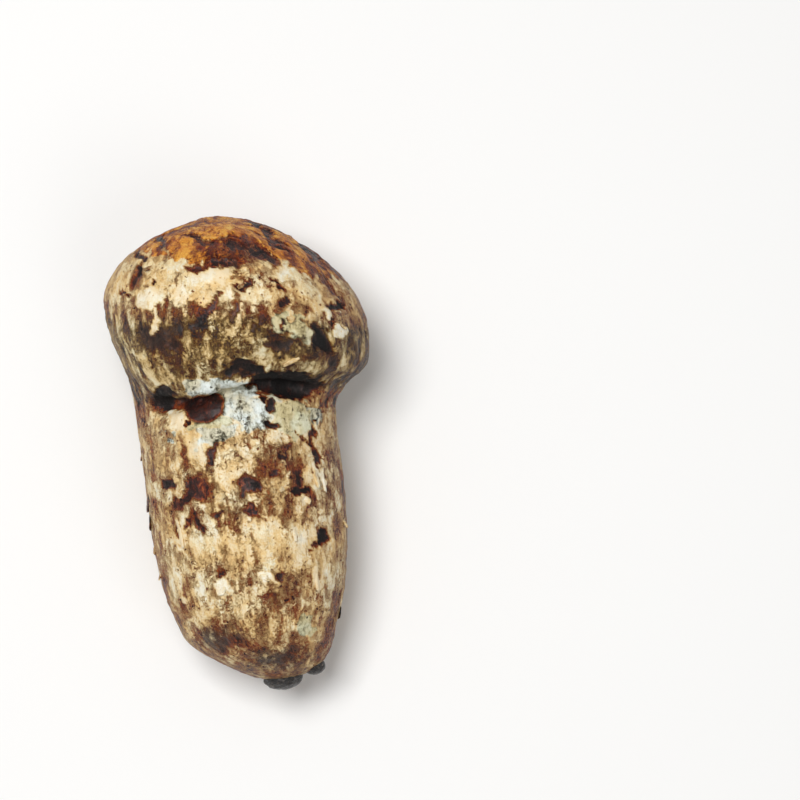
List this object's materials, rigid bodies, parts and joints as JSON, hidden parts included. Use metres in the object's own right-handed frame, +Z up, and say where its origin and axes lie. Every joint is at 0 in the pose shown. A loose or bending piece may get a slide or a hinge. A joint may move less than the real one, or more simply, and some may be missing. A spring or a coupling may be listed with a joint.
{
  "type": "matsutake mushroom",
  "caption": "Whole matsutake mushroom lying on its side, with a closed domed cap, a torn veil collar under it, a stout fibrous stem and crumbs of earth at the foot.",
  "frame": {"origin": "on the ground under the middle of the object's bounding box", "axes": "+Z up from the ground it lies on; +Y along the ground from the foot towards the crown of the cap; +X across, towards the side where the cap overhangs the stem most"},
  "size_m": [0.0594, 0.1076, 0.0549],
  "materials": {
    "mushroom_flesh": "cream fibrous flesh with torn orange-brown to dark brown scales, satin where it is damp",
    "forest_soil": "dark damp earth in crumbs"
  },
  "bodies": {
    "root": {"mushroom": "mushroom_flesh", "large_soil_clod": "forest_soil", "small_soil_clod": "forest_soil"}
  },
  "joints": []
}
